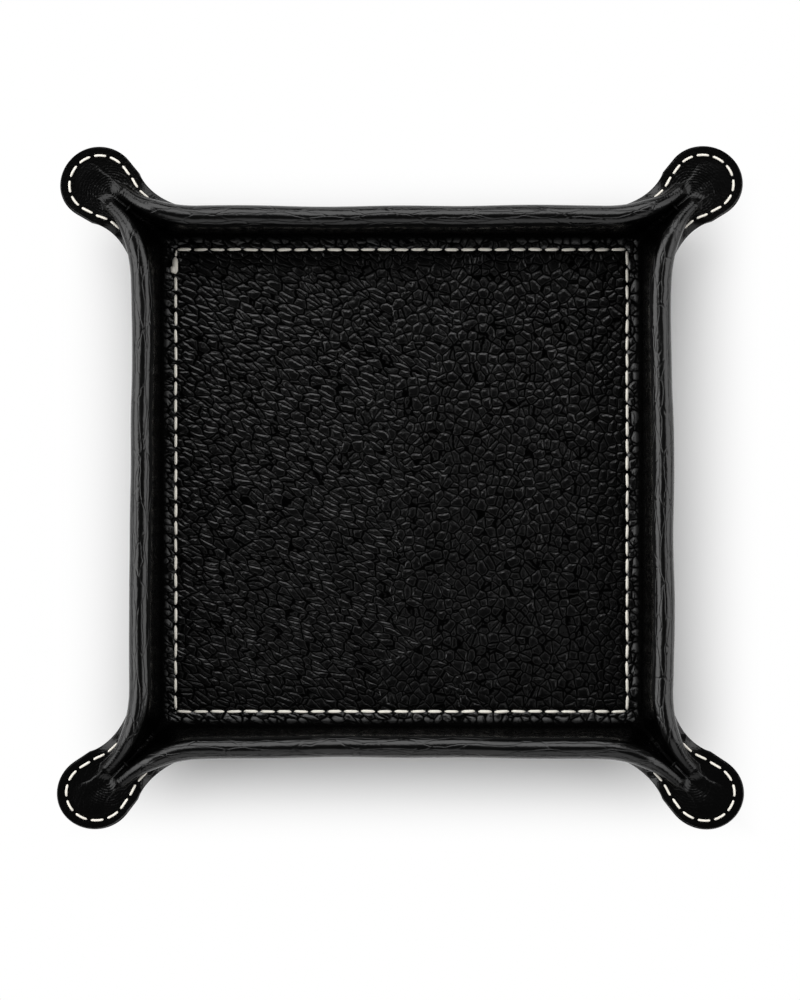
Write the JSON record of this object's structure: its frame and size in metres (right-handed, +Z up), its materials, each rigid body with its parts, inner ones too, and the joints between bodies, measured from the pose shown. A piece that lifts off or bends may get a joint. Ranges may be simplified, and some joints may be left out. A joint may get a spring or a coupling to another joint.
{
  "type": "valet tray",
  "caption": "Square soft leather valet tray with rolled-over rim walls and pinched corners that flare into round edge-stitched lobes.",
  "frame": {"origin": "centre of the tray's footprint, on the table that it rests on", "axes": "+X to the right of the picture, +Y to the top of the picture, +Z up out of the tray"},
  "size_m": [0.1876, 0.1876, 0.03],
  "materials": {
    "lining_leather": "pebbled black",
    "outer_leather": "smooth black",
    "base_board": "pressed fibre board",
    "seam_thread": "waxed cream thread",
    "tack_thread": "waxed black thread"
  },
  "bodies": {
    "root": {"lining_leather": "lining_leather", "outer_leather": "outer_leather", "base_board": "base_board", "floor_needle_thread": "seam_thread", "floor_bobbin_thread": "seam_thread", "edge_needle_thread": "seam_thread", "edge_bobbin_thread": "seam_thread", "corner_tack_front_left": "tack_thread", "corner_tack_front_right": "tack_thread", "corner_tack_back_left": "tack_thread", "corner_tack_back_right": "tack_thread"}
  },
  "joints": []
}
